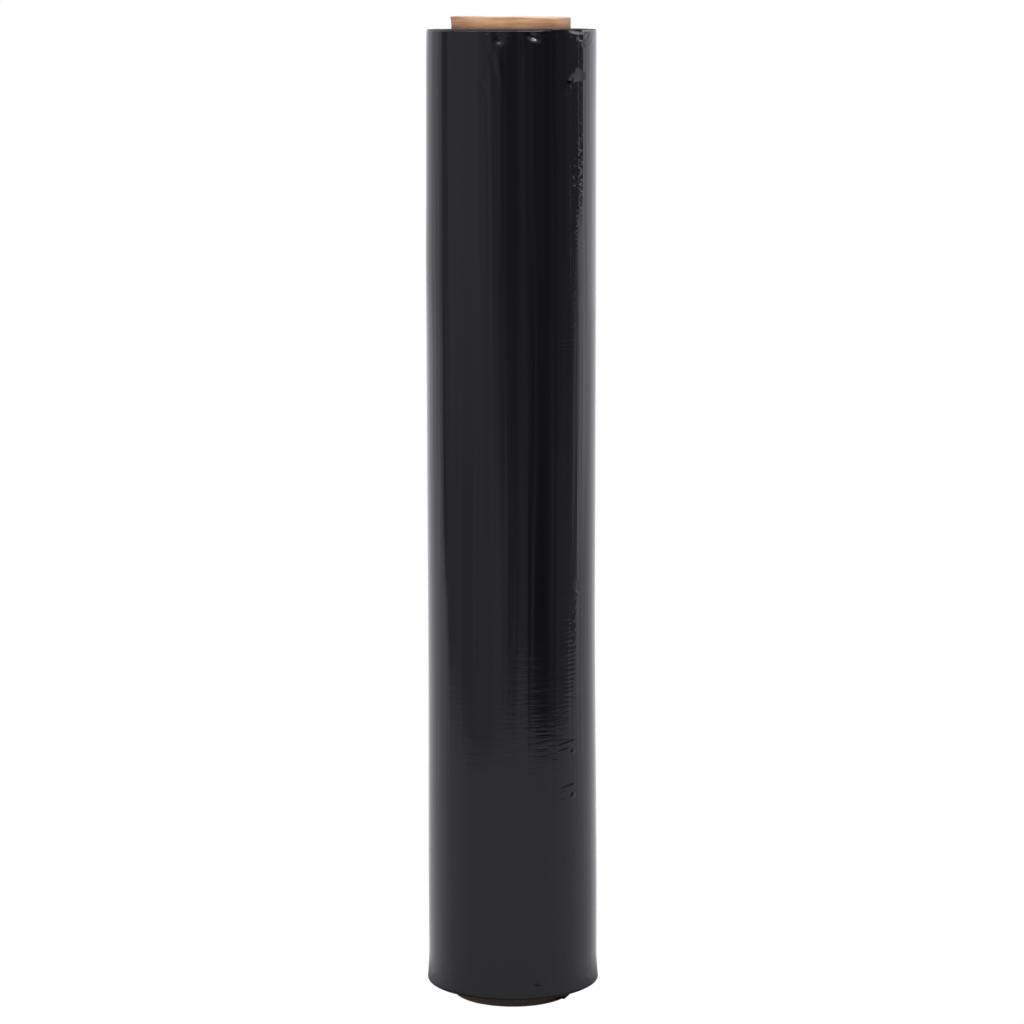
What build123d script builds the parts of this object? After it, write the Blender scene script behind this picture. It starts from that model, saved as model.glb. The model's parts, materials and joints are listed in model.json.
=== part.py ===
from build123d import *

import os

# Stretch wrap roll: a film wound tight on a paper tube, standing on the end of the tube.
# Millimetres, +Z up. The origin is on the roll's axis, in the plane of the tube's lower cut end.

# Paper tube
CORE_BORE = 50.8            # two-inch bore, the size of a hand dispenser's mandrel
CORE_WALL = 5.1             # spiral-wound board, several plies glued to one wall
CUT_EDGE_ROUND = 0.5        # the slitting knife rolls the outer edge of each cut end
STUB_BELOW = 7.3            # bare tube under the film
STUB_ABOVE = 6.7            # bare tube over the film

# Wound film
FILM_WIDTH = 500.0          # width of the web, the height of the winding
FILM_BUILD = 13.5           # thickness of all the turns, from the tube to the outermost one
RIM_ROUND = 1.0             # outer edge of the winding at each end
FOOT_FLARE = 0.9            # how far the knocked lower end spreads past the body
FOOT_FLARE_HEIGHT = 18.0    # length of the spread end

# What follows from them
BORE_RADIUS = CORE_BORE / 2
CORE_RADIUS = BORE_RADIUS + CORE_WALL
CORE_LENGTH = STUB_BELOW + FILM_WIDTH + STUB_ABOVE
BODY_RADIUS = CORE_RADIUS + FILM_BUILD
FOOT_RADIUS = BODY_RADIUS + FOOT_FLARE
FILM_BOTTOM = STUB_BELOW
FILM_TOP = STUB_BELOW + FILM_WIDTH


def paper_core():
    """Open tube, cut square at both ends, its two outer edges rolled in by the knife."""
    with BuildPart() as tube:
        Cylinder(CORE_RADIUS, CORE_LENGTH, align=(Align.CENTER, Align.CENTER, Align.MIN))
        outer_edges = tube.edges().filter_by(GeomType.CIRCLE)
        fillet(outer_edges, min(CUT_EDGE_ROUND, CORE_WALL / 3))
        Cylinder(
            BORE_RADIUS,
            CORE_LENGTH,
            align=(Align.CENTER, Align.CENTER, Align.MIN),
            mode=Mode.SUBTRACT,
        )
    return tube.part


def film_winding():
    """All the turns as one ring: it grips the tube face to face, stands straight up to a rounded
    rim at the top, and spreads in one gentle arc to a rounded rim at the knocked lower end."""
    round_in = min(RIM_ROUND, FILM_BUILD / 3)
    spread_start = (BODY_RADIUS, FILM_BOTTOM + FOOT_FLARE_HEIGHT)
    spread_end = (FOOT_RADIUS, FILM_BOTTOM + round_in)
    with BuildPart() as winding:
        with BuildSketch(Plane.XZ):
            with BuildLine():
                Line((FOOT_RADIUS - round_in, FILM_BOTTOM), (CORE_RADIUS, FILM_BOTTOM))
                Line((CORE_RADIUS, FILM_BOTTOM), (CORE_RADIUS, FILM_TOP))
                Line((CORE_RADIUS, FILM_TOP), (BODY_RADIUS - round_in, FILM_TOP))
                RadiusArc(
                    (BODY_RADIUS - round_in, FILM_TOP),
                    (BODY_RADIUS, FILM_TOP - round_in),
                    round_in,
                )
                Line((BODY_RADIUS, FILM_TOP - round_in), spread_start)
                TangentArc(spread_start, spread_end, tangent=(0, -1))
                RadiusArc(spread_end, (FOOT_RADIUS - round_in, FILM_BOTTOM), round_in)
            make_face()
        revolve(axis=Axis.Z)
    return winding.part


SUB_PARTS = {
    "paper_core": paper_core,
    "film_winding": film_winding,
}

os.makedirs("parts", exist_ok=True)
for node, make in SUB_PARTS.items():
    export_step(make(), f"parts/{node}.step")
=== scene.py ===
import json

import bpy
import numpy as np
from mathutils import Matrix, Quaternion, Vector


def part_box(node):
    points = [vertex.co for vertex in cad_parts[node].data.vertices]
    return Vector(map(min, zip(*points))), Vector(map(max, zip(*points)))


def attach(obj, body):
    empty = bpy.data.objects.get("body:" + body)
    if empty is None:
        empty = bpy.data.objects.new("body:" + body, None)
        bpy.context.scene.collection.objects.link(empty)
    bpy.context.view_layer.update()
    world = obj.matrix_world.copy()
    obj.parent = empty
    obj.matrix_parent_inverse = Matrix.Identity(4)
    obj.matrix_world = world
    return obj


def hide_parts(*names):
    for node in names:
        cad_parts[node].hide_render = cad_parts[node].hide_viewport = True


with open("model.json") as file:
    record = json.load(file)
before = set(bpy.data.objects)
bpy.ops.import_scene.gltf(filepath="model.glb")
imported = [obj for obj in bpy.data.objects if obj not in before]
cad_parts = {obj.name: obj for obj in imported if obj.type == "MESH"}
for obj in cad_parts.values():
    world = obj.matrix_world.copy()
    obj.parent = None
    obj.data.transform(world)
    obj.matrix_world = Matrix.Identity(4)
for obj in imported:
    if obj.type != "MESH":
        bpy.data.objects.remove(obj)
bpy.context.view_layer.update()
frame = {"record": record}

# %% [markdown]
# # A roll of stretch film, built outwards from its frame
# The frame holds two plain solids: the paper tube and the ring of wound film. They say how big everything
# is and where it stands. This lesson puts the real surfaces round them. The film is black and glossy, so
# nearly all that an eye sees of it is the room mirrored in it: a ridge a few hundredths of a millimetre
# high bends that mirror and draws a streak the whole height of the roll. That is why the shape is worked
# out with such care, and why the light is planned before any surface is made.

film_low, film_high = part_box("film_winding")
core_low, core_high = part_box("paper_core")

MM = 0.001
FILM_SLIP = 0.4 * MM  # how far the turns have slid up the tube
film_bottom, film_top = film_low[2] + FILM_SLIP, film_high[2]
foot_radius = (film_high[0] - film_low[0]) / 2
core_radius = (core_high[0] - core_low[0]) / 2
core_bottom, core_top = core_low[2], core_high[2]
bore_radius = next(m["dims"]["r_mm"] for m in frame["record"]["mounts"] if m["name"] == "core_bore") * MM
print("film", round(film_bottom, 4), "to", round(film_top, 4), "foot radius", round(foot_radius, 4))
print("tube", round(core_bottom, 4), "to", round(core_top, 4), "radius", round(core_radius, 4))

# %% [markdown]
# ## The camera
# The roll is seen from the height of its own top, from a little under two metres. A long lens keeps its
# sides nearly parallel. The camera tilts down rather than using lens shift, so that it still frames the
# roll when it is moved round to another side. A tenth of a degree of roll gives a slight lean.

# %% The camera
CAMERA_DISTANCE = 1.691
CAMERA_HEIGHT = 0.5159
CAMERA_TILT = np.radians(8.673)
CAMERA_ROLL = np.radians(-0.12)
CAMERA_LENS = 115.19  # millimetres, on a sensor 36 mm wide

camera = bpy.data.objects.new("camera", bpy.data.cameras.new("camera"))
camera.data.sensor_width = 36.0
camera.data.lens = CAMERA_LENS
camera.location = (0.0, -CAMERA_DISTANCE, CAMERA_HEIGHT)
camera.rotation_mode = "QUATERNION"
aim = Quaternion((1, 0, 0), np.radians(90) - CAMERA_TILT)
camera.rotation_quaternion = aim @ Quaternion((0, 0, 1), CAMERA_ROLL)
bpy.context.scene.collection.objects.link(camera)
bpy.context.scene.camera = camera
bpy.context.scene.view_settings.view_transform = "Standard"
print("camera", CAMERA_DISTANCE, "m in front,", CAMERA_HEIGHT, "m up")

# %% [markdown]
# ## Helpers for making node trees
# A finish is a small network of nodes. Two helpers keep the networks short: one adds a node and fills its
# sockets, the other joins two sockets.


# %% Node helpers
def add_node(tree, kind, settings=None, **sockets):
    """A new node. settings are its own properties, and sockets are numbers for inputs, by name, where a
    space in the name is written as an underscore."""
    node = tree.nodes.new(kind)
    for name, value in (settings or {}).items():
        setattr(node, name, value)
    for name, value in sockets.items():
        node.inputs[name.replace("_", " ")].default_value = value
    return node


def join(tree, source, target):
    """A link from an output socket to an input socket."""
    tree.links.new(source, target)


def maths(tree, operation, first, second=None):
    """The output of a Math node. first and second are numbers or output sockets."""
    node = add_node(tree, "ShaderNodeMath", {"operation": operation})
    for place, value in enumerate((first, second)):
        if isinstance(value, (int, float)):
            node.inputs[place].default_value = value
        elif value is not None:
            join(tree, value, node.inputs[place])
    return node.outputs[0]


def ramp(tree, factor, stops, interpolation="EASE"):
    """The output of a ColorRamp node with these (place, colour) stops, read at factor."""
    node = add_node(tree, "ShaderNodeValToRGB")
    node.color_ramp.interpolation = interpolation
    for place, colour in stops[2:]:
        node.color_ramp.elements.new(place)
    for element, (place, colour) in zip(node.color_ramp.elements, stops):
        element.position = place
    for element, (place, colour) in zip(node.color_ramp.elements, stops):
        element.color = colour if isinstance(colour, tuple) else (colour, colour, colour, 1.0)
    join(tree, factor, node.inputs[0])
    return node.outputs[0]


# %% [markdown]
# ## The studio round the roll
# Black film is lit by giving it something to mirror. Behind the roll stands a white backdrop, which the
# film shows as a bright rim down each side. In front on the left is a pale wall, in front on the right
# the dim end of the room, and the light grows towards the ceiling. A long lamp hangs there in an arc, at
# its brightest a little to the right, and a dimmer skylight is let in beside the backdrop. The film's
# upright wall never mirrors either. Only creases turned upwards catch them, and that is what makes them
# glint. A world that changes with direction holds all of it.

# %% The studio
BRIGHTEST = 30.0  # what a colour of 1 in the world stands for
# direction round the roll in degrees, 0 towards the camera and growing to the right, and its brightness
ROOM_LEVEL = [
    (-180, 1.10), (-150, 0.95), (-118, 0.92), (-111, 0.85), (-106, 0.45), (-101, 0.36), (-95, 0.62),
    (-84, 0.88), (-47, 1.00), (-40, 0.88), (-34, 0.80), (-27, 0.58), (-19, 0.65), (-11, 0.45),
    (-3, 0.28), (6, 0.31), (14, 0.48), (22, 0.36), (31, 0.24), (40, 0.28), (52, 0.23), (66, 0.35),
    (76, 0.33), (85, 0.44), (91, 0.34), (96, 0.40), (100, 1.10), (108, 1.45), (120, 1.60), (135, 1.50),
    (150, 1.30), (180, 1.10),
]
ROOM_BELOW = [
    (-180, 1.00), (-150, 0.90), (-118, 0.80), (-111, 0.66), (-107, 0.34), (-103, 0.10), (-99, 0.30),
    (-94, 0.60), (-86, 0.56), (-78, 0.70), (-66, 0.60), (-56, 0.64), (-44, 0.84), (-34, 0.80),
    (-22, 0.92), (-11, 0.84), (-6, 0.66), (-2, 0.42), (6, 0.42), (14, 0.61), (22, 0.46), (31, 0.19),
    (47, 0.15), (56, 0.32), (72, 0.52), (91, 0.44), (97, 0.50), (100, 0.95), (108, 1.38), (116, 1.60),
    (140, 1.45), (180, 1.05),
]
# heights in the room are sines of the angle above the horizon
LEVEL_ENDS, BELOW_STARTS = -0.075, -0.17
SOFT_BOX_FROM, SOFT_BOX_FULL = 0.12, 0.60
SOFT_BOX = 1.5
# the lamp: where it starts to glow, is full and ends, its share of light by direction, and its brightness
LAMP_GLOW, LAMP_LOW, LAMP_HIGH, LAMP_EDGE = 0.56, 0.66, 0.77, 0.02
LAMP_ROUND = [(-95, 0.0), (-82, 0.34), (-38, 0.42), (8, 0.40), (17, 1.0), (43, 1.0), (52, 0.0)]
LAMP = 29.0
# the skylight in the same way
SKYLIGHT_GLOW, SKYLIGHT_LOW, SKYLIGHT_HIGH, SKYLIGHT_EDGE = 0.26, 0.38, 0.64, 0.05
SKYLIGHT_ROUND = [(76, 0.0), (88, 1.0), (136, 1.0), (148, 0.0)]
SKYLIGHT = 3.6
DAYLIGHT = np.array((1.00, 0.99, 1.05))  # the cool tint of window light


def daylight(bright):
    """Daylight of this brightness as a colour of the world, before its strength."""
    return tuple(float(c) for c in DAYLIGHT * bright / BRIGHTEST) + (1.0,)


def room_light(tree, turn, stops):
    """The brightness of the room at a turn from 0 to 1, where 0.5 faces the camera."""
    return ramp(tree, turn, [(degrees / 360 + 0.5, daylight(bright)) for degrees, bright in stops])


def window_in_the_sky(tree, turn, height, directions, heights):
    """1 inside a patch of the ceiling and 0 outside, from stops in degrees round and in sines up."""
    inside = ramp(tree, turn, [(degrees / 360 + 0.5, share) for degrees, share in directions])
    return maths(tree, "MULTIPLY", inside, ramp(tree, height, heights))


def blend(tree, factor, first, second):
    """The output of a colour Mix node. second is an output socket or a colour."""
    node = add_node(tree, "ShaderNodeMix", {"data_type": "RGBA"})
    join(tree, factor, node.inputs[0])
    join(tree, first, node.inputs[6])
    if isinstance(second, tuple):
        node.inputs[7].default_value = second
    else:
        join(tree, second, node.inputs[7])
    return node.outputs[2]


def white_to_the_camera(tree, shader):
    """The shader, but plain white where the camera looks at it directly, like a cleared background."""
    white = add_node(tree, "ShaderNodeEmission", Color=(1.0, 1.0, 1.0, 1.0))
    node = add_node(tree, "ShaderNodeMixShader")
    join(tree, add_node(tree, "ShaderNodeLightPath").outputs["Is Camera Ray"], node.inputs[0])
    join(tree, shader, node.inputs[1])
    join(tree, white.outputs[0], node.inputs[2])
    return node.outputs[0]


world = bpy.data.worlds.new("studio")
bpy.context.scene.world = world
world.use_nodes = True
tree = world.node_tree
tree.nodes.clear()
direction = add_node(tree, "ShaderNodeSeparateXYZ")
join(tree, add_node(tree, "ShaderNodeTexCoord").outputs["Generated"], direction.inputs[0])
towards_camera = maths(tree, "MULTIPLY", direction.outputs["Y"], -1.0)
turn = maths(tree, "ARCTAN2", direction.outputs["X"], towards_camera)
turn = maths(tree, "ADD", maths(tree, "DIVIDE", turn, float(2 * np.pi)), 0.5)
rise = maths(tree, "ADD", maths(tree, "MULTIPLY", direction.outputs["Z"], 0.5), 0.5)
below = ramp(tree, rise, [(0.5 + BELOW_STARTS / 2, 1.0), (0.5 + LEVEL_ENDS / 2, 0.0)])
light = blend(tree, below, room_light(tree, turn, ROOM_LEVEL), room_light(tree, turn, ROOM_BELOW))
overhead = ramp(tree, direction.outputs["Z"], [(SOFT_BOX_FROM, 0.0), (SOFT_BOX_FULL, 1.0)])
light = blend(tree, overhead, light, daylight(SOFT_BOX))

strip = [(LAMP_GLOW, 0.0), (LAMP_LOW, 1.0), (LAMP_HIGH, 1.0), (LAMP_HIGH + LAMP_EDGE, 0.0)]
in_lamp = window_in_the_sky(tree, turn, direction.outputs["Z"], LAMP_ROUND, strip)
light = blend(tree, in_lamp, light, daylight(LAMP))
pane_end = SKYLIGHT_HIGH + SKYLIGHT_EDGE
pane = [(SKYLIGHT_GLOW, 0.0), (SKYLIGHT_LOW, 1.0), (SKYLIGHT_HIGH, 1.0), (pane_end, 0.0)]
in_skylight = window_in_the_sky(tree, turn, direction.outputs["Z"], SKYLIGHT_ROUND, pane)
light = blend(tree, in_skylight, light, daylight(SKYLIGHT))
studio = add_node(tree, "ShaderNodeBackground", Strength=BRIGHTEST)
join(tree, light, studio.inputs["Color"])
seen = white_to_the_camera(tree, studio.outputs[0])
join(tree, seen, add_node(tree, "ShaderNodeOutputWorld").inputs["Surface"])
soft_from = round(float(np.degrees(np.arcsin(SOFT_BOX_FROM))))
print("studio:", len(ROOM_LEVEL), "directions at two heights, soft box from", soft_from, "degrees up")

# %% [markdown]
# ## The table
# The roll stands on a white table with one corner towards the camera. Its near edges matter: below the
# line where the film mirrors them, it shows even white table, and above it the room. A small dark mat
# under the roll keeps light from being thrown up into the gap beneath the film, where the tube's foot
# stands in shade.

# %% The table
TABLE_TURN = np.radians(50)
NEAR_RIGHT, NEAR_LEFT = 0.74, 0.66  # from the roll to the two near edges
FAR = 4.0
TABLE_WHITE = 0.390
MAT_WHITE = 0.16
MAT_RADIUS, MAT_EDGE = 0.060, 0.105

corner_signs = np.array([(1, -1), (1, 1), (-1, 1), (-1, -1)])
along = np.where(corner_signs > 0, (NEAR_RIGHT, FAR), (-FAR, -NEAR_LEFT))
right_way = np.array((np.sin(TABLE_TURN), -np.cos(TABLE_TURN)))
left_way = np.array((np.cos(TABLE_TURN), np.sin(TABLE_TURN)))
corners = along[:, :1] * right_way + along[:, 1:] * left_way
table_mesh = bpy.data.meshes.new("table")
table_mesh.from_pydata([(x, y, core_bottom) for x, y in corners], [], [(0, 1, 2, 3)])
table = bpy.data.objects.new("table", table_mesh)
bpy.context.scene.collection.objects.link(table)

table_finish = bpy.data.materials.new("white_table")
table_finish.use_nodes = True
tree = table_finish.node_tree
tree.nodes.clear()
reach = add_node(tree, "ShaderNodeVectorMath", {"operation": "LENGTH"})
join(tree, add_node(tree, "ShaderNodeTexCoord").outputs["Object"], reach.inputs[0])
shade = ramp(tree, reach.outputs["Value"], [(MAT_RADIUS, MAT_WHITE), (MAT_EDGE, TABLE_WHITE)])
top = add_node(tree, "ShaderNodeBsdfDiffuse")
join(tree, shade, top.inputs["Color"])
seen = white_to_the_camera(tree, top.outputs[0])
join(tree, seen, add_node(tree, "ShaderNodeOutputMaterial").inputs["Surface"])
table.data.materials.append(table_finish)
print("table corners", np.round(corners, 2).tolist())

# %% [markdown]
# ## Surfaces from grids
# Every surface below is a grid: rows of points along a profile, columns of points round the roll. Points
# are worked out for the whole grid at once. Where a ring closes on itself, the last column joins the
# first.


# %% Grid helpers
SHARP_FOLD = np.radians(50)


def spaced(stops):
    """Places along a line. stops are (from, to, step) stretches laid end to end, each divided evenly into
    steps of about that size. The last end is included."""
    parts = [np.linspace(a, b, max(2, round(abs(b - a) / step) + 1))[:-1] for a, b, step in stops]
    return np.concatenate(parts + [[stops[-1][1]]])


def grid_faces(rows, columns, close_rows=False, close_columns=False):
    """Four corners for each cell of a grid whose points are numbered row by row. With the columns running
    anticlockwise as seen from above and the rows running upwards, the faces point outwards."""
    r = np.arange(rows if close_rows else rows - 1)
    c = np.arange(columns if close_columns else columns - 1)
    r, c = np.meshgrid(r, c, indexing="ij")
    up, on = (r + 1) % rows, (c + 1) % columns
    corners = (r * columns + c, r * columns + on, up * columns + on, up * columns + c)
    return np.stack(corners, -1).reshape(-1, 4)


def grid_layout(across, along):
    """The bake map of the same cells, one place per corner: across holds one number per column line and
    along one per row line, both from 0 to 1, one more than there are cells."""
    r, c = np.meshgrid(np.arange(len(along) - 1), np.arange(len(across) - 1), indexing="ij")
    u = np.stack([across[c], across[c + 1], across[c + 1], across[c]], -1)
    v = np.stack([along[r], along[r], along[r + 1], along[r + 1]], -1)
    return np.stack([u, v], -1).reshape(-1, 2)


def round_the_axis(angle, radius, height):
    """Points from cylinder coordinates. Angle 0 faces the camera, on -Y, and grows towards +X."""
    angle, radius, height = np.broadcast_arrays(angle, radius, height)
    return np.stack([radius * np.sin(angle), -radius * np.cos(angle), height], -1)


def make_piece(name, points, faces, layout, replaced, materials, material_of=None):
    """A mesh object from a grid, riding on the roll, standing for the CAD node and wearing materials.
    material_of gives each face's material by its number. Faces shade smoothly, but for sharp folds."""
    mesh = bpy.data.meshes.new(name)
    mesh.from_pydata(points.reshape(-1, 3), [], faces)
    mesh.polygons.foreach_set("use_smooth", np.ones(len(faces), bool))
    for finish in materials:
        mesh.materials.append(finish)
    if material_of is not None:
        mesh.polygons.foreach_set("material_index", material_of.astype(np.int32))
    bake_map = mesh.uv_layers.new(name="OFBake", do_init=False)
    bake_map.uv.foreach_set("vector", layout.astype(np.float32).ravel())
    mesh.update()
    mesh.set_sharp_from_angle(angle=SHARP_FOLD)
    piece = bpy.data.objects.new(name, mesh)
    bpy.context.scene.collection.objects.link(piece)
    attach(piece, "root")
    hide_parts(replaced)
    size = np.ptp(points.reshape(-1, 3), axis=0) / MM
    print(name, len(faces) * 2, "triangles, box in mm", np.round(size, 2))


# %% [markdown]
# ## How a wound web is out of round
# Stretch film is blown or cast with thick and thin lanes along it. Hundreds of turns pile a thick lane up
# into a raised band, and pull a thin one flat. Along the height these bands drift slowly, so each is a
# cosine round the roll whose phase wanders with height. Low counts make it out of round, middle counts
# make flats, and high counts make the fine ridges that the eye reads as streaks.

# %% Lanes in the film
dice = np.random.default_rng(7)


def lanes(counts, slope, wander):
    """A list of (count, height in metres, phase, wander, wander length, wander phase), one per cosine. Each
    stands about slope / count of the radius high, so that all of them tilt the surface alike."""
    made = []
    for count in counts:
        phase, wander_phase = dice.uniform(0, 2 * np.pi, 2)
        tall = slope * dice.uniform(0.6, 1.3) * foot_radius / count
        strayed = wander * dice.uniform(0.5, 1.2)
        made.append((count, tall, phase, strayed, dice.uniform(0.18, 0.5), wander_phase))
    return made


OUT_OF_ROUND = lanes((3, 5), 0.0050, 0.2)
FLATS = lanes((8, 11, 15, 19, 24), 0.0100, 0.7)
RIDGES = lanes((33, 41, 47, 56, 64, 73), 0.0150, 1.6)


def lane_relief(angle, height, rows_of_lanes):
    """The sum over the lanes of tall x cos(count x angle + phase + wander x sin(2 pi height / length))."""
    total = np.zeros(np.broadcast_shapes(np.shape(angle), np.shape(height)))
    for count, tall, phase, wander, length, wander_phase in rows_of_lanes:
        drift = wander * np.sin(2 * np.pi * height / length + wander_phase)
        total += tall * np.cos(count * angle + phase + drift)
    return total


print("lanes:", len(OUT_OF_ROUND + FLATS + RIDGES))

# %% [markdown]
# ## Ridges, dents and creases that have a place
# Some marks are there for anyone to see: flats and ridges down the front, a pinched glint under the top
# edge, a fan of creases where the loose edge is pulled at the top right, and a few knocks near the foot.
# Each one is a smooth hill or hollow stretched along its own direction, so a mark is six numbers
# in a list.

# %% Marks with a place
# angle in degrees, half width in degrees, height in mm: full-height ridges and hollows on the front
FRONT_RIDGES = [
    (-47.0, 2.2, 0.055), (-38.5, 2.4, -0.040), (-24.5, 2.0, -0.060), (-12.0, 1.8, 0.070),
    (-5.0, 1.6, -0.055), (3.5, 2.2, 0.050), (12.5, 2.4, -0.040), (23.0, 2.5, 0.030), (31.0, 3.0, -0.035),
]
# angle in degrees, drop below the film's top in mm, half length and half width in mm, tilt in degrees where
# a plus runs down to the right, and height in mm
TOP_CREASES = [
    (14.9, 3.4, 3.4, 1.90, 22, -1.10), (-7.8, 5.2, 2.4, 1.90, 4, -0.80),
    (-16.4, 1.4, 1.3, 0.70, 10, -0.34), (-8.5, 0.9, 1.8, 0.60, -6, -0.25),
    (-8.0, 1.6, 3.4, 1.80, -4, -0.66), (-3.0, 2.6, 2.0, 0.70, 24, -0.12),
    (22.0, 2.2, 3.2, 0.70, 6, -0.12), (30.0, 3.2, 3.6, 0.80, -8, 0.12),
    (-38.0, 2.0, 4.0, 0.80, 3, -0.07), (50.0, 1.2, 6.0, 0.95, 6, -0.46),
    (53.0, 4.8, 3.0, 1.00, 14, -0.50), (56.0, 8.0, 1.8, 0.80, 18, -0.36),
    (44.0, 3.0, 2.4, 0.80, 12, -0.26), (62.0, 3.4, 2.4, 0.90, -24, -0.24),
    (68.0, 6.4, 3.0, 0.95, -38, 0.14), (-13.0, 15.0, 7.0, 1.8, 80, -0.20),
    (-19.0, 28.0, 5.0, 1.8, 60, -0.12), (-8.0, 18.0, 8.0, 1.6, 84, 0.20),
    (-23.0, 34.0, 3.0, 1.4, 30, 0.09), (40.0, 31.4, 2.8, 0.70, 2, 0.20),
    (42.5, 28.4, 1.2, 0.55, 80, 0.14), (38.2, 29.4, 1.0, 0.50, 75, 0.12),
    (46.0, 27.6, 1.6, 0.55, 10, 0.14), (45.6, 33.0, 1.2, 0.55, 30, 0.12),
    (133.0, 4.0, 3.0, 0.80, 20, -0.35), (-150.0, 5.0, 4.2, 0.90, -12, -0.28),
    (104.0, 2.6, 3.6, 0.80, 8, 0.20), (178.0, 6.2, 3.8, 0.90, -25, -0.24),
    (-96.0, 3.6, 3.0, 0.80, 16, -0.20), (-121.0, 9.0, 4.5, 1.0, -35, 0.14),
]
# the same, with heights above the film's bottom
FOOT_MARKS = [
    (7.6, 15.4, 1.1, 0.9, 60, 0.24), (0.0, 12.0, 2.2, 1.1, 20, 0.12), (16.5, 8.6, 2.6, 0.8, -8, -0.22),
    (2.0, 45.0, 1.4, 0.8, 5, 0.10), (62.0, 9.0, 3.0, 1.2, 10, -0.10), (-52.0, 12.0, 3.0, 1.4, 16, -0.08),
    (-31.0, 107.0, 1.6, 0.8, 10, -0.10), (-29.0, 130.0, 1.6, 0.7, 30, -0.08),
    (50.5, 214.0, 1.2, 1.6, 10, -0.16), (-70.0, 6.0, 4.0, 1.2, 12, 0.10),
    (62.0, 5.0, 4.0, 1.1, -14, 0.12), (120.0, 12.0, 4.0, 1.3, 30, -0.09),
    (-140.0, 9.0, 3.4, 1.2, -22, -0.08), (165.0, 22.0, 3.0, 1.5, 50, -0.05),
]


def wrapped(angle):
    """An angle brought into the half turn either side of 0."""
    return (angle + np.pi) % (2 * np.pi) - np.pi


def marks_relief(angle, level, marks):
    """The sum of hills tall x exp(-(along / length)^2 - (across / width)^2), where along and across are
    measured on the surface from each mark's place, along its tilt. level is the height from the end."""
    total = np.zeros(np.broadcast_shapes(np.shape(angle), np.shape(level)))
    for place, drop, length, width, tilt, tall in marks:
        round_by = wrapped(angle - np.radians(place)) * foot_radius / MM
        up_by = level / MM - drop
        c, s = np.cos(np.radians(tilt)), np.sin(np.radians(tilt))
        along, across = round_by * c + up_by * s, up_by * c - round_by * s
        total += tall * MM * np.exp(-((along / length) ** 2) - (across / width) ** 2)
    return total


def front_relief(angle, height):
    """The sum of ridges exp(-(turn / half width)^2), each wandering by a degree or so along the height."""
    total = np.zeros(np.broadcast_shapes(np.shape(angle), np.shape(height)))
    for place, width, tall in FRONT_RIDGES:
        sway = 0.8 * np.sin(height / 0.09 + place) + 0.5 * np.sin(height / 0.037 + 2.3 * place)
        turn_by = np.degrees(wrapped(angle - np.radians(place + sway)))
        total += tall * MM * np.exp(-((turn_by / width) ** 2))
    return total


print("placed marks:", len(FRONT_RIDGES) + len(TOP_CREASES) + len(FOOT_MARKS))

# %% [markdown]
# ## The wall of the winding
# One function gives the radius anywhere on the wall, and everything that lies on the film asks it where
# the surface is. Radii set at a few heights, called stations as in boat building, give the body: the roll
# is about a millimetre slimmer at its top. Its lower end was stood on and knocked, so the last turns have
# slid out into a small skirt.


# %% The radius of the wall
FOOT_SPREAD = 0.98 * MM
FOOT_SPREAD_HEIGHT = 15 * MM
PULLED_AT, PULLED_HALF_WIDTH = 52, 9.5  # degrees: the corner of the top rim where the loose edge pulls
# height in mm, and the radius in mm on the left and on the right
STATIONS = [
    (7, 44.45, 44.30), (30, 44.52, 44.60), (60, 44.58, 44.66), (110, 44.45, 44.20), (150, 44.25, 43.85),
    (170, 44.15, 43.60), (210, 44.12, 43.42), (270, 44.22, 43.52), (340, 44.12, 43.65),
    (385, 44.25, 43.72), (430, 43.83, 43.68), (470, 43.60, 43.62), (507, 43.48, 43.80),
]


def between_stations(height, side):
    """The radius at a height by straight lines between the stations, averaged over 30 mm of height."""
    stops, radii = np.array(STATIONS)[:, 0] * MM, np.array(STATIONS)[:, side] * MM
    return np.mean([np.interp(height + shift * MM, stops, radii) for shift in range(-15, 16, 3)], axis=0)


def smooth_step(value, start, end):
    """0 before start, 1 after end, and a smooth S between them."""
    t = np.clip((value - start) / (end - start), 0, 1)
    return t * t * (3 - 2 * t)


def wall_radius(angle, height):
    """Distance from the axis to the outermost turn: the body between the stations, less a tuck at the very
    top and a slant where the corner is drawn in, plus the skirt, the lanes and ridges, and the marks. The
    lanes are calmer near the foot and at the two sides."""
    left, right = between_stations(height, 1), between_stations(height, 2)
    body = (left + right) / 2 + (right - left) / 2 * np.sin(angle)
    body = body - (0.16 - 0.14 * np.sin(angle)) * MM * np.exp(-(film_top - height) / (9 * MM))
    from_corner = (np.degrees(wrapped(angle)) - PULLED_AT) / PULLED_HALF_WIDTH
    drawn_in = np.clip((height - film_top) / MM + 2.5 + 0.3 * np.sin(11 * angle), 0, None)
    body = body - 0.42 * MM * drawn_in * np.exp(-(from_corner**4))
    rise = np.clip(1 - (height - film_bottom) / FOOT_SPREAD_HEIGHT, 0, 1)
    lopsided = 1 + 0.02 * np.sin(angle) + 0.07 * np.sin(5 * angle + 1.0)
    spread = FOOT_SPREAD * lopsided * rise**1.6
    calm = 0.30 + 0.70 * smooth_step(height, 0.09, 0.20)
    calm = calm * (1 - 0.7 * np.exp(-(((np.abs(np.degrees(wrapped(angle))) - 82) / 20) ** 4)))
    lanes_here = lane_relief(angle, height, OUT_OF_ROUND)
    lanes_here = lanes_here + calm * lane_relief(angle, height, FLATS)
    lanes_here = lanes_here + calm * lane_relief(angle, height, RIDGES)
    lanes_here = lanes_here + calm * front_relief(angle, height)
    marks = marks_relief(angle, film_top - height, TOP_CREASES)
    marks = marks + marks_relief(angle, height - film_bottom, FOOT_MARKS)
    return body + spread + lanes_here + marks


sample = wall_radius(np.radians([[-90.0, 0.0, 90.0]]), np.array([[0.012], [0.10], [0.30], [0.50]]))
print("wall radius in mm, left, front and right, at four heights:", np.round(sample / MM, 2).tolist())

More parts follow.
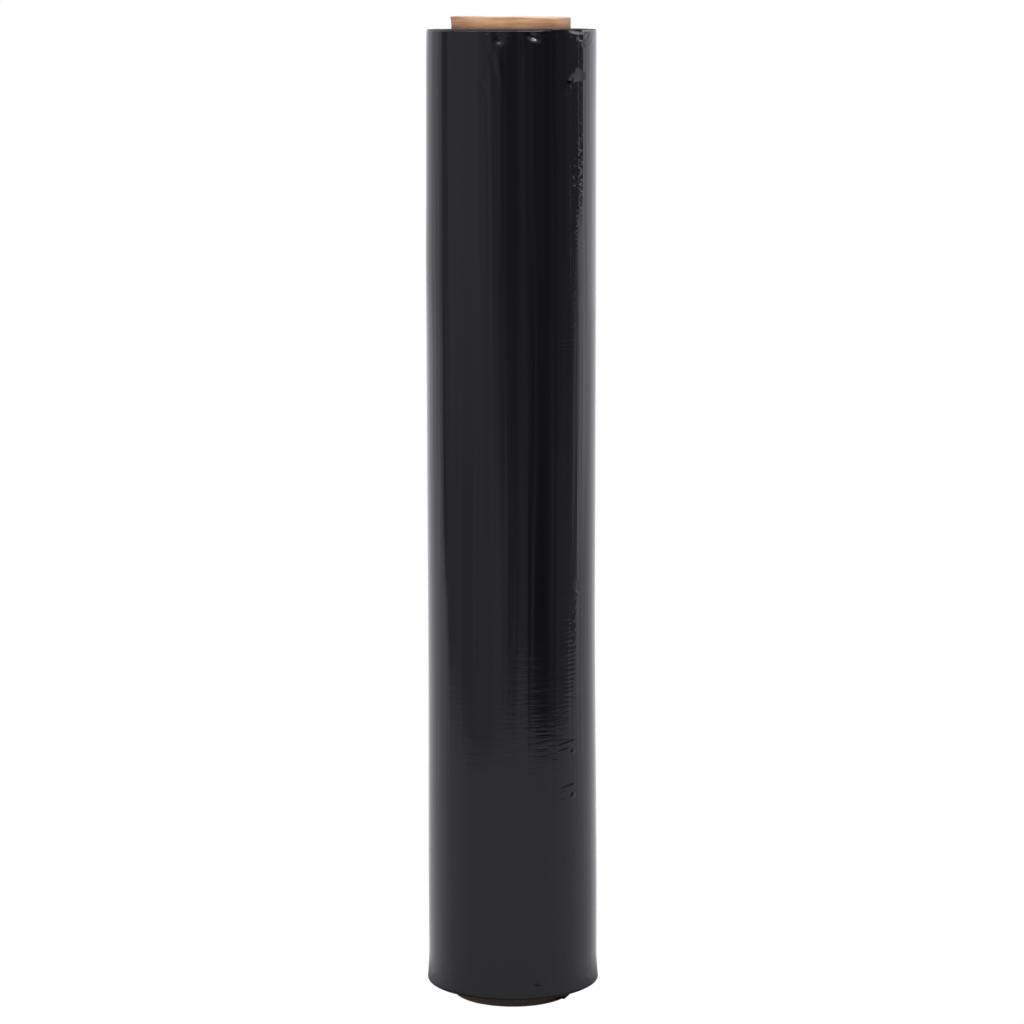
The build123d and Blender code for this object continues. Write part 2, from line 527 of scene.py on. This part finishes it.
# %% [markdown]
# ## The two ends of the winding
# Nobody trims a roll of film: its ends are the edges of all its turns, laid one on another as the web ran
# a little left or right. So an end isn't flat. It rises and falls in rings, a few spokes run across it
# where it was squeezed, and at the foot a group of inner turns hangs lower on the right.


# %% The ends
def ring_relief(angle, radius):
    """Rings a few tenths of a millimetre high that hold their height almost all the way round."""
    ring = radius / MM
    rings = 0.10 * np.sin(ring * 2 * np.pi / 1.9 + 0.6 * np.sin(angle))
    rings = rings + 0.06 * np.sin(ring * 2 * np.pi / 1.13 + 1.0)
    rings = rings + 0.12 * np.sin(ring * 2 * np.pi / 5.3 + 2.0 + 0.4 * np.sin(angle * 2 + 1.0))
    spokes = 0.05 * np.sin(angle * 9 + 0.4 * ring) * np.sin(angle * 2 + 0.5)
    return (rings + spokes) * MM


HANG_ROUND, HANG_BY = (38, 46, 52, 61, 65), (0.0, 4.3, 5.9, 4.6, 0.0)  # degrees, and mm at each


def foot_telescope(angle, radius):
    """How far the turns hang below the rest: the inner ones a little all round, and the innermost far down
    the tube at the right, by straight lines between a few places."""
    slid = np.interp(np.degrees(wrapped(angle)), HANG_ROUND, HANG_BY) * MM
    innermost = 1 - smooth_step(radius, core_radius + 3.8 * MM, core_radius + 5.2 * MM)
    inner = 1 - smooth_step(radius, core_radius + 5.0 * MM, core_radius + 10.0 * MM)
    return slid * innermost + 0.5 * MM * inner


def top_lift(angle):
    """How far the rim of the top end stands up: next to nothing, but for the pulled corner at the right."""
    round_by = np.degrees(wrapped(angle))
    pulled = 0.35 * np.exp(-(((round_by - 56) / 12) ** 2)) + 0.16 * np.exp(-(((round_by - 47) / 3) ** 2))
    ripple = 0.05 * np.sin(angle * 17 + 1.0) + 0.05 * np.sin(angle * 29 + 2.0) * np.sin(angle * 3)
    return (pulled + ripple) * MM


def rim_round(angle):
    """Radius of the turned-over top rim, larger at the pulled corner."""
    round_by = np.degrees(wrapped(angle))
    return (0.55 + 1.0 * np.exp(-(((round_by - 57) / 13) ** 2))) * MM


rings_at_front = ring_relief(0.0, np.linspace(core_radius, foot_radius, 400))
print("ends: rings within", round(float(np.ptp(rings_at_front)) / MM, 2), "mm")

# %% [markdown]
# ## The winding as one closed surface
# The profile starts at the tube, runs out along the bottom end, round the rim, up the wall, over the top
# rim and back in to the tube, and the last row joins the first down the tube, so the winding is
# watertight. The columns are closer together on the front, where creases are small, and wider apart
# behind.

# %% The winding
FRONT_FROM, FRONT_TO = -24, 84  # degrees
degrees_round = spaced([(FRONT_FROM, FRONT_TO, 0.5), (FRONT_TO, FRONT_FROM + 360, 1.18)])
angles = np.radians(degrees_round[:-1])
BOTTOM_RIM = 0.8 * MM

bottom_ring = np.linspace(0, 1, 23)[:, None]
bottom_edge_radius = wall_radius(angles, np.full_like(angles, film_bottom + BOTTOM_RIM)) - BOTTOM_RIM
bottom_radius = core_radius + (bottom_edge_radius - core_radius) * bottom_ring
fade = smooth_step(bottom_ring, 0.0, 0.06) * smooth_step(bottom_ring, 1.0, 0.90)
bottom_height = film_bottom + ring_relief(angles, bottom_radius) * fade
bottom_height = bottom_height - foot_telescope(angles, bottom_radius)

bend = np.radians(np.array([25.0, 50.0, 72.0]))[:, None]
bottom_rim_radius = bottom_edge_radius + BOTTOM_RIM * np.sin(bend)
bottom_rim_height = film_bottom + BOTTOM_RIM * (1 - np.cos(bend)) + 0 * angles

lift = top_lift(angles)
top_round = rim_round(angles)
levels = spaced([
    (film_bottom + BOTTOM_RIM, film_bottom + 20 * MM, 0.8 * MM),
    (film_bottom + 20 * MM, film_top - 42 * MM, 5.0 * MM),
    (film_top - 42 * MM, film_top - 14 * MM, 1.0 * MM),
    (film_top - 14 * MM, film_top, 0.42 * MM),
])[:-1, None]
near_top = smooth_step(levels, film_top - 6 * MM, film_top)
wall_height = levels + (lift - top_round) * near_top
wall = wall_radius(angles, wall_height)

top_edge_radius = wall[-1] - top_round
top_bend = np.radians(np.array([18.0, 40.0, 62.0, 80.0]))[:, None]
top_rim_radius = top_edge_radius + top_round * np.cos(top_bend)
top_rim_height = wall_height[-1] + top_round * np.sin(top_bend)
top_ring = np.linspace(1, 0, 25)[:, None]
top_radius = core_radius + (top_edge_radius - core_radius) * top_ring
fade = smooth_step(top_ring, 0.0, 0.05) * smooth_step(top_ring, 1.0, 0.93)
top_height = film_top + lift * top_ring**3 + ring_relief(angles, top_radius + 3 * MM) * fade

radii = np.concatenate([bottom_radius, bottom_rim_radius, wall, top_rim_radius, top_radius])
heights = np.concatenate([bottom_height, bottom_rim_height, wall_height, top_rim_height, top_height])
winding_points = round_the_axis(angles, radii, heights)
winding_faces = grid_faces(len(radii), len(angles), close_rows=True, close_columns=True)
print("winding grid", radii.shape, "rows and columns")

# %% [markdown]
# ## Black film
# Polyethylene film mirrors little when looked at squarely and a lot at a glancing angle, which the
# shader's index of refraction gives. The colour under the mirror is almost nothing. Over the modelled
# shape comes relief too fine for the grid: hairline streaks along the height, ripples lying across in the
# lower half, where the turns are slack, and a faint grain. All of it is driven by the object's own
# coordinates.


# %% The film finish
STREAKS, RIPPLES, GRAIN = 0.000110, 0.000110, 0.000004  # metres of relief


def stretched_noise(tree, coordinates, scale, detail=2.0, roughness=0.5):
    """Noise whose cells measure about 1 / scale metres along X, Y and Z."""
    mapping = add_node(tree, "ShaderNodeMapping", Scale=scale)
    join(tree, coordinates, mapping.inputs["Vector"])
    noise = add_node(tree, "ShaderNodeTexNoise", Scale=1.0, Detail=detail, Roughness=roughness)
    join(tree, mapping.outputs[0], noise.inputs["Vector"])
    return noise.outputs[0]


def bump(tree, height, distance, strength, below=None):
    """The output of a Bump node laid over the one below it. distance is in metres."""
    node = add_node(tree, "ShaderNodeBump", Strength=strength, Distance=distance)
    join(tree, height, node.inputs["Height"])
    if below is not None:
        join(tree, below, node.inputs["Normal"])
    return node.outputs[0]


def new_finish(name):
    """A new material, its node tree and its shader."""
    finish = bpy.data.materials.new(name)
    finish.use_nodes = True
    return finish, finish.node_tree, finish.node_tree.nodes["Principled BSDF"]


def film_finish():
    """The outermost turn of black film. The ripples fade in and out with height, gather in clusters and are
    strongest at the right."""
    finish, tree, shader = new_finish("black_film_wall")
    place = add_node(tree, "ShaderNodeTexCoord").outputs["Object"]
    parts = add_node(tree, "ShaderNodeSeparateXYZ")
    join(tree, place, parts.inputs[0])
    shader.inputs["Base Color"].default_value = (0.0003, 0.0003, 0.0013, 1.0)
    shader.inputs["IOR"].default_value = 1.36
    haze = stretched_noise(tree, place, (60.0, 60.0, 22.0), 3.0)
    haze = ramp(tree, haze, [(0.30, 0.09), (0.72, 0.15)], "LINEAR")
    join(tree, haze, shader.inputs["Roughness"])
    streaks = stretched_noise(tree, place, (520.0, 520.0, 4.0), 3.0, 0.6)
    ripples = stretched_noise(tree, place, (85.0, 85.0, 470.0), 2.0, 0.5)
    slack = ramp(tree, parts.outputs["Z"], [(0.075, 0.0), (0.125, 1.0), (0.23, 0.75), (0.29, 0.0)])
    clusters = stretched_noise(tree, place, (16.0, 16.0, 34.0), 1.0)
    clusters = ramp(tree, clusters, [(0.40, 0.25), (0.58, 1.0)])
    sideways = maths(tree, "ADD", maths(tree, "MULTIPLY", parts.outputs["X"], 10.0), 0.5)
    clusters = maths(tree, "MULTIPLY", clusters, ramp(tree, sideways, [(0.35, 0.45), (0.65, 1.0)]))
    ripples = maths(tree, "MULTIPLY", ripples, maths(tree, "MULTIPLY", slack, clusters))
    grain = stretched_noise(tree, place, (700.0, 700.0, 500.0), 2.0)
    relief = bump(tree, streaks, STREAKS, 0.9)
    relief = bump(tree, ripples, RIPPLES, 0.60, relief)
    relief = bump(tree, grain, GRAIN, 0.5, relief)
    join(tree, relief, shader.inputs["Normal"])
    return finish


def film_end_finish():
    """The edges of all the turns: a dull grey sheen over black, with a fine line for every few turns."""
    finish, tree, shader = new_finish("black_film_edges")
    place = add_node(tree, "ShaderNodeTexCoord").outputs["Object"]
    parts = add_node(tree, "ShaderNodeSeparateXYZ")
    join(tree, place, parts.inputs[0])
    sideways = maths(tree, "POWER", parts.outputs["X"], 2.0)
    deep = maths(tree, "POWER", parts.outputs["Y"], 2.0)
    radius = maths(tree, "SQRT", maths(tree, "ADD", sideways, deep))
    rings = add_node(tree, "ShaderNodeCombineXYZ")
    join(tree, maths(tree, "MULTIPLY", radius, 2600.0), rings.inputs[0])
    join(tree, maths(tree, "MULTIPLY", parts.outputs["X"], 25.0), rings.inputs[1])
    join(tree, maths(tree, "MULTIPLY", parts.outputs["Y"], 25.0), rings.inputs[2])
    lines = add_node(tree, "ShaderNodeTexNoise", Scale=1.0, Detail=3.0, Roughness=0.6)
    join(tree, rings.outputs[0], lines.inputs["Vector"])
    black, grey = (0.004, 0.004, 0.005, 1.0), (0.020, 0.020, 0.023, 1.0)
    tone = ramp(tree, lines.outputs[0], [(0.30, black), (0.75, grey)], "LINEAR")
    join(tree, tone, shader.inputs["Base Color"])
    shader.inputs["IOR"].default_value = 1.13
    gloss = ramp(tree, lines.outputs[0], [(0.25, 0.42), (0.80, 0.62)], "LINEAR")
    join(tree, gloss, shader.inputs["Roughness"])
    join(tree, bump(tree, lines.outputs[0], 0.00012, 0.6), shader.inputs["Normal"])
    return finish


film_wall_finish = film_finish()
film_edge_finish = film_end_finish()
print("finishes:", film_wall_finish.name, film_edge_finish.name)

# %% [markdown]
# ## Dressing the winding
# The wall and its rims wear the film finish, and the two ends the finish of bare edges. The bake map
# unrolls the winding like a label: once round across the picture, and the profile from bottom to top.

# %% Dressing the winding
rows_bottom, rows_wall = len(bottom_radius), len(radii) - len(top_radius)
row_of_face = np.repeat(np.arange(len(radii)), len(angles))
is_end = (row_of_face < rows_bottom - 1) | (row_of_face >= rows_wall - 2)
profile_step = np.hypot(np.diff(radii.mean(1)), np.diff(heights.mean(1)))
profile = np.concatenate([[0.0], np.cumsum(profile_step)]) / profile_step.sum() * 0.97
make_piece(
    "film_wound_web",
    winding_points,
    winding_faces,
    grid_layout((degrees_round - FRONT_FROM) / 360, np.append(profile, 1.0)),
    "film_winding",
    [film_wall_finish, film_edge_finish],
    is_end,
)

# %% [markdown]
# ## Thin sheets lying on the roll
# A sheet is an outer grid and an inner grid a hair apart. Seen along its height it is a flattened tube:
# the outer columns run one way and the inner columns come back, and a row of cells closes it at each end.


# %% Sheets
def sheet_points(outer, inner):
    """The points of a sheet, row by row: the outer columns followed by the inner columns in reverse."""
    return np.concatenate([outer, inner[:, ::-1]], axis=1)


def sheet_faces(rows, columns):
    """The cells round the flattened tube, then those that close its lower and upper ends."""
    around = grid_faces(rows, 2 * columns, close_columns=True)
    here = np.arange(columns - 1)
    there = 2 * columns - 1 - here
    lower = np.stack([here, there, there - 1, here + 1], -1)
    upper = np.stack([here, here + 1, there - 1, there], -1) + (rows - 1) * 2 * columns
    return np.concatenate([around, lower, upper])


def sheet_layout(rows, columns):
    """The bake map of the same cells: the tube unrolled below, and its two closed ends as strips above."""
    around = grid_layout(np.linspace(0, 1, 2 * columns + 1), np.linspace(0, 0.94, rows))
    across = np.linspace(0, 1, columns)
    lower = np.stack([across[:-1], across[:-1], across[1:], across[1:]], -1)
    upper = np.stack([across[:-1], across[1:], across[1:], across[:-1]], -1)
    lower_up = np.broadcast_to((0.95, 0.97, 0.97, 0.95), lower.shape)
    upper_up = np.broadcast_to((0.98, 0.98, 1.0, 1.0), upper.shape)
    ends = np.stack([np.concatenate([lower, upper]), np.concatenate([lower_up, upper_up])], -1)
    return np.concatenate([around, ends.reshape(-1, 2)])


# %% [markdown]
# ## The loose end of the web
# The last turn ends in an edge down the right side of the front. In its upper fifth the edge stands seven
# tenths of a millimetre proud, and the film behind it has gathered into small puckers. Farther down it
# lies flat, and only a few hair-thin lines along the height show where it runs.

# %% The loose edge
LOOSE_FROM, LOOSE_TO = 27.0, 54.8  # degrees
EDGE_LIES, EDGE_STANDS = 0.03, 0.70  # mm proud: low down, and in the upper fifth
# degrees, half width in degrees, relief in mm: the hair-thin lines
FINE_LINES = [(37.3, 0.42, 0.022), (39.8, 0.42, -0.024), (42.6, 0.40, 0.030), (44.2, 0.36, -0.026)]
# degrees, height in mm, half length and half width in mm, tilt in degrees, relief in mm: tucks lower down
LOOSE_MARKS = [
    (44.8, 141.2, 1.4, 1.4, 0, 0.12), (44.8, 136.9, 1.1, 1.1, 0, 0.34), (44.8, 118.6, 1.6, 1.5, 0, 0.12),
    (44.8, 113.7, 1.2, 1.2, 0, 0.40), (38.0, 141.8, 8.0, 0.55, 9, 0.11),
    (37.0, 138.6, 7.0, 0.45, 8, 0.08), (39.5, 118.8, 6.0, 0.70, 8, 0.12),
    (36.0, 116.4, 5.0, 0.90, 8, 0.12), (35.5, 112.6, 3.0, 0.50, 8, 0.08),
    (49.0, 224.0, 1.4, 2.6, 0, -0.16), (51.0, 219.5, 1.0, 1.2, 20, 0.14),
]


def scattered_puckers(count, centre, spread, strength):
    """Small hills and hollows thrown along a strip, strongest 430 mm up. They are wider than they are tall,
    since the film has been pushed together along its height."""
    up = np.concatenate([dice.uniform(356, 500, count), dice.normal(431, 10, count)])
    place = centre(up) + dice.normal(0, spread, up.size)
    strong = 0.25 + 0.95 * np.exp(-(((up - 432) / 14) ** 2)) + 0.4 * np.exp(-(((up - 455) / 8) ** 2))
    tall = dice.choice((-1.0, 1.0), up.size) * dice.uniform(0.09, 0.32, up.size) * strong * strength
    long, wide = dice.uniform(0.7, 1.5, up.size), dice.uniform(0.30, 0.50, up.size)
    return np.stack([place, up, long, wide, dice.uniform(-22, 22, up.size), tall], -1)


def along_the_edge(millimetres):
    """The middle of the strip of puckers behind the edge, in degrees, at a height in mm."""
    return 45.5 + 6.7 * smooth_step(millimetres, 392, 414)


def inside_the_edge(millimetres):
    """The middle of the fainter strip to its left, in degrees."""
    return 43.8 + 2.6 * smooth_step(millimetres, 392, 414)


PUCKERS = np.concatenate([
    scattered_puckers(75, along_the_edge, 1.2, 1.0),
    scattered_puckers(40, inside_the_edge, 1.5, 0.55),
])


def loose_lift(degrees, height):
    """How far the outer face of the last turn stands off the turns below, in metres: a flat start, a curl
    towards its edge in the upper part, the puckers, a ladder of fine rungs at three heights, slack film in
    the lower half, the tucks and the fine lines. Near the foot it sinks into the roll."""
    start = -0.05 + 0.09 * smooth_step(degrees, LOOSE_FROM, LOOSE_FROM + 4)
    edge = EDGE_LIES + EDGE_STANDS * smooth_step(height, 0.404, 0.428)
    curl = edge * np.clip((degrees - 43) / (LOOSE_TO - 43), 0, 1) ** 1.8
    mm = height / MM
    puckers = marks_relief(np.radians(degrees), height, PUCKERS) / MM
    rungs = np.exp(-(((mm - 410) / 12) ** 4) - ((degrees - 51.5) / 2.8) ** 4)
    rungs = rungs + 0.6 * np.exp(-(((mm - 349) / 4) ** 2))
    from_ladder = (degrees - 42 - 2 * np.sin(mm / 7)) / 4.5
    rungs = rungs + 0.7 * np.exp(-(((mm - 188) / 25) ** 4) - from_ladder**4)
    rungs = rungs * (1 + 1.2 * smooth_step(mm, 380, 396))
    puckers = puckers + 0.038 * rungs * np.sin(mm * 2.7 + 0.8 * np.sin(mm / 2.3))
    slack = np.sin(mm / 0.75 + 2.5 * np.sin(degrees / 2.3)) * np.sin(degrees / 1.7 + mm / 3.7)
    slack = 0.030 * slack * smooth_step(mm, 182, 196) * smooth_step(mm, 232, 218)
    puckers = puckers + slack + marks_relief(np.radians(degrees), height, LOOSE_MARKS) / MM
    lines = sum(
        tall * np.exp(-(((degrees - place - 0.3 * np.sin(mm / 31 + place)) / width) ** 2))
        for place, width, tall in FINE_LINES
    )
    lines = lines * smooth_step(height, 0.250, 0.300) * (0.6 + 0.4 * np.sin(mm / 6.1))
    sunk = 0.25 * smooth_step(height, 0.110, 0.060)
    wrinkles = np.maximum(puckers + lines, -0.12) * smooth_step(degrees, 32, 36)
    return (start + curl + wrinkles - sunk) * MM


loose_degrees = spaced([(LOOSE_FROM, 41.0, 1.4), (41.0, LOOSE_TO, 0.36)])
loose_heights = spaced([
    (film_bottom + 1.5 * MM, 0.110, 4.0 * MM),
    (0.110, 0.152, 0.5 * MM),
    (0.152, 0.230, 0.6 * MM),
    (0.230, 0.335, 4.0 * MM),
    (0.335, 0.430, 0.32 * MM),
    (0.430, film_top - 0.25 * MM, 0.36 * MM),
])[:, None]
edge_wander = 0.35 * np.sin(loose_heights / 0.023) + 0.2 * np.sin(loose_heights / 0.0071 + 1.0)
loose_at = loose_degrees + edge_wander * smooth_step(loose_degrees, 50, LOOSE_TO)
loose_outer = wall_radius(np.radians(loose_at), loose_heights) + loose_lift(loose_at, loose_heights)
loose_inner = loose_outer - 0.07 * MM - 0.12 * MM * smooth_step(LOOSE_TO - loose_at, 0.5, 6)
loose_points = sheet_points(
    round_the_axis(np.radians(loose_at), loose_outer, loose_heights),
    round_the_axis(np.radians(loose_at), loose_inner, loose_heights),
)
make_piece(
    "film_loose_edge",
    loose_points,
    sheet_faces(*loose_outer.shape),
    sheet_layout(*loose_outer.shape),
    "film_winding",
    [film_wall_finish],
)

# %% [markdown]
# ## The dog-ear
# A corner of the loose edge has torn and folded over, a triangle the size of a fingernail. It is flat,
# touches the roll at its right and stands off it towards its left tip, so it mirrors the bright side of
# the room.

# %% The folded corner
# corners, in degrees and in mm of height
EAR_RIGHT_TOP, EAR_RIGHT_LOW = (57.2, 485.7), (56.6, 482.2)
EAR_LEFT, EAR_TOP = (41.4, 480.6), (49.6, 488.4)
EAR_FACES, EAR_TOUCHES = 51.5, 55.8  # degrees: the way it faces, and where it touches the roll


def ear_surface(across, up):
    """Degrees and height in mm on the triangle. across runs from the right edge to the left tip, and up
    runs from the lower side to the upper one, which bulges to a corner of its own."""
    right = np.array(EAR_RIGHT_LOW) + (np.array(EAR_RIGHT_TOP) - EAR_RIGHT_LOW) * up[..., None]
    tip = np.array(EAR_LEFT)
    place = right + (tip - right) * across[..., None]
    bulge = (np.array(EAR_TOP) - (np.array(EAR_RIGHT_TOP) + tip) / 2) * 2
    arch = np.clip(1 - np.abs(across - 0.55) / 0.55, 0, 1)[..., None]
    return place + bulge * 0.5 * arch * up[..., None]


across, up = np.meshgrid(np.linspace(0, 1, 28), np.linspace(0, 1, 14))
ear_place = ear_surface(across[:, ::-1], up)
ear_angle, ear_height = np.radians(ear_place[..., 0]), ear_place[..., 1] * MM
ear_foot = (foot_radius + 0.05 * MM) * np.cos(np.radians(EAR_FACES - EAR_TOUCHES))
ear_flat = ear_foot / np.cos(np.radians(EAR_FACES) - ear_angle)
ear_radius = ear_flat + 0.03 * MM * np.sin(across * 7 + up * 2)
ear_radius = np.minimum(ear_radius, foot_radius + 0.35 * MM)
ear_points = sheet_points(
    round_the_axis(ear_angle, ear_radius, ear_height),
    round_the_axis(ear_angle, wall_radius(ear_angle, ear_height) - 0.2 * MM, ear_height),
)
make_piece(
    "film_dog_ear",
    ear_points,
    sheet_faces(*ear_angle.shape),
    sheet_layout(*ear_angle.shape),
    "film_winding",
    [film_wall_finish],
)

# %% [markdown]
# ## The paper tube
# Paper tubes are wound from strips laid side by side on a spiral. The columns of this grid lean with the
# spiral, so the seam between two turns of the outer strip falls on column 0 and can be cut as a fine
# groove. The cut ends show the plies as rings, and the knife has left the top edge a little uneven.

# %% The paper tube
SEAM_PITCH = 92 * MM
TUBE_SPREAD, TUBE_SPREAD_HEIGHT = 0.8 * MM, 4 * MM  # the foot, splayed by standing on it
TUBE_FLARE, FLARE_AT = 0.55 * MM, -90  # the head, bent outwards at the left
seam_stops = [(0, 3, 0.5), (3, 9, 1.5), (9, 351, 3.0), (351, 357, 1.5), (357, 360, 0.5)]
seam_columns = np.radians(spaced(seam_stops)[:-1])


def tube_wall(radius, height, outwards):
    """Angles and radii on the tube's outer or inner wall: the radius less a groove where two turns of the
    strip meet, and a shallow wave from the knife and from handling."""
    spiral = seam_columns + 2 * np.pi * height / SEAM_PITCH
    from_seam = np.degrees(np.abs(wrapped(seam_columns)))
    groove = 0.16 * MM * np.exp(-((from_seam / 0.6) ** 2))
    groove = groove + 0.05 * MM * np.exp(-(((from_seam - 3) / 2) ** 2))
    wave = 0.05 * MM * np.sin(3 * spiral + 9 * height / 0.1) + 0.03 * MM * np.sin(7 * spiral + 1.0)
    return spiral, radius - outwards * groove + outwards * wave


def top_cut(angle):
    """How far the cut at the top departs from flat: slow waves, and a burr at the left."""
    burr = 0.30 * np.exp(-((wrapped(angle + np.radians(88)) / np.radians(9)) ** 2))
    waves = 0.16 * np.sin(2 * angle + 2.6) + 0.10 * np.sin(5 * angle + 0.7)
    waves = waves + 0.07 * np.sin(11 * angle + 2.0)
    return (waves - 0.45 - 0.30 * np.sin(angle) + burr) * MM


CUT_ROUND = 0.35 * MM
tube_levels = spaced([
    (core_bottom + CUT_ROUND, film_bottom + 3 * MM, 0.8 * MM),
    (film_bottom + 3 * MM, film_top - 4 * MM, 2.6 * MM),
    (film_top - 4 * MM, core_top - CUT_ROUND, 0.6 * MM),
])[:, None]
outer_angle, outer_radius = tube_wall(core_radius, tube_levels, 1)
inner_angle, inner_radius = tube_wall(bore_radius, tube_levels, -1)
near_cut = smooth_step(tube_levels, core_top - 5 * MM, core_top)
outer_height = tube_levels + top_cut(outer_angle) * near_cut
inner_height = tube_levels + top_cut(inner_angle) * near_cut
from_flare = wrapped(outer_angle - np.radians(FLARE_AT)) / np.radians(20)
flare = TUBE_FLARE * near_cut**2 * np.exp(-(from_flare**2))
near_foot = smooth_step(tube_levels, core_bottom + TUBE_SPREAD_HEIGHT, core_bottom)
outer_radius = outer_radius + flare + TUBE_SPREAD * near_foot


def cut_ring(start_angle, start_radius, end_radius, level, sign):
    """Rows across a cut end, from one wall to the other, rounded at both edges and ringed by the plies."""
    way = np.concatenate([[0.06], np.linspace(0.12, 0.88, 13), [0.94]])[:, None]
    radius = start_radius + (end_radius - start_radius) * way
    ply = np.abs(radius - bore_radius) / MM * 2 * np.pi / 0.85
    plies = 0.07 * MM * np.sin(ply + 0.5 * np.sin(3 * start_angle))
    fuzz = 0.05 * MM * np.sin(23 * start_angle + 5 * way) * np.sin(31 * start_angle * way)
    inside = smooth_step(np.minimum(way, 1 - way), 0.0, 0.11)
    angle = np.broadcast_to(start_angle, radius.shape)
    return angle, radius, level + sign * (CUT_ROUND * inside + (plies + fuzz) * inside)


top_angle, top_r, top_z = cut_ring(outer_angle[-1], outer_radius[-1], inner_radius[-1], outer_height[-1], 1)
low_angle, low_r, low_z = cut_ring(outer_angle[0], outer_radius[0], inner_radius[0], outer_height[0], -1)
tube_angle = np.concatenate([outer_angle, top_angle, inner_angle[::-1], low_angle[::-1]])
tube_radius = np.concatenate([outer_radius, top_r, inner_radius[::-1], low_r[::-1]])
tube_height = np.concatenate([outer_height, top_z, inner_height[::-1], low_z[::-1]])
tube_height = np.maximum(tube_height, core_bottom)
tube_ends = np.round((tube_height.min(), tube_height.max()), 5)
print("tube grid", tube_radius.shape, "from", tube_ends[0], "to", tube_ends[1])

# %% [markdown]
# ## Kraft board
# Raw brown board: long fibres lying round the tube, a mottle of lighter and darker pulp, and no shine.
# Its foot is painted paler as painted light, and near black at the right as a painted shadow by the table.
# A dark band painted just above the film's top is painted shade where the film meets the tube.


# %% The board finish
PULP_DARK, PULP_LIGHT = (0.248, 0.131, 0.065, 1.0), (0.440, 0.255, 0.140, 1.0)
# painted light and shade: a paler foot, a painted shadow at the foot's right, painted contact shade above
# the film
FOOT_PAINTED_LIGHT, PAINTED_CONTACT_SHADE, PAINTED_FOOT_SHADOW = (0.660, 0.475, 0.330, 1.0), (0.045, 0.026, 0.018, 1.0), (0.012, 0.010, 0.010, 1.0)


def board_finish():
    """Kraft board with fibre lines lying round the tube, a painted pale foot and two bands of painted
    shade.
    """
    finish, tree, shader = new_finish("kraft_board")
    place = add_node(tree, "ShaderNodeTexCoord").outputs["Object"]
    fibres = stretched_noise(tree, place, (55.0, 55.0, 900.0), 4.0, 0.6)
    pulp = stretched_noise(tree, place, (75.0, 75.0, 160.0), 2.0, 0.5)
    mixed = maths(tree, "ADD", maths(tree, "MULTIPLY", fibres, 0.6), maths(tree, "MULTIPLY", pulp, 0.4))
    tone = ramp(tree, mixed, [(0.36, PULP_DARK), (0.62, PULP_LIGHT)], "LINEAR")
    parts = add_node(tree, "ShaderNodeSeparateXYZ")
    join(tree, place, parts.inputs[0])
    # painted light: the lowest millimetres are painted paler, standing in for light on the shaded foot
    foot_painted_light = ramp(tree, parts.outputs["Z"], [(0.0050, 1.0), (0.0090, 0.0)])
    tone = blend(tree, foot_painted_light, tone, FOOT_PAINTED_LIGHT)
    # painted shade: a dark band just above the film's top, where the film meets the tube
    film_line = float(film_top)
    painted_contact_shade = ramp(tree, parts.outputs["Z"], [(film_line + 0.0003, 0.85), (film_line + 0.0015, 0.0)])
    tone = blend(tree, painted_contact_shade, tone, PAINTED_CONTACT_SHADE)
    # painted shadow: near black over the lowest millimetres of the tube on its right, next to the table
    foot_shadow_height = ramp(tree, parts.outputs["Z"], [(0.0010, 0.9), (0.0026, 0.0)])
    to_right = ramp(tree, parts.outputs["X"], [(0.0130, 0.0), (0.0230, 1.0)])
    tone = blend(tree, maths(tree, "MULTIPLY", foot_shadow_height, to_right), tone, PAINTED_FOOT_SHADOW)
    join(tree, tone, shader.inputs["Base Color"])
    shader.inputs["Roughness"].default_value = 0.86
    shader.inputs["IOR"].default_value = 1.35
    join(tree, bump(tree, fibres, 0.00009, 0.6), shader.inputs["Normal"])
    return finish


tube_steps = np.hypot(np.diff(tube_radius.mean(1)), np.diff(tube_height.mean(1)))
tube_profile = np.concatenate([[0.0], np.cumsum(tube_steps)]) / tube_steps.sum() * 0.985
make_piece(
    "core_tube",
    round_the_axis(tube_angle, tube_radius, tube_height),
    grid_faces(len(tube_radius), len(seam_columns), close_rows=True, close_columns=True),
    grid_layout(np.append(seam_columns, 2 * np.pi) / (2 * np.pi), np.append(tube_profile, 1.0)),
    "paper_core",
    [board_finish()],
)
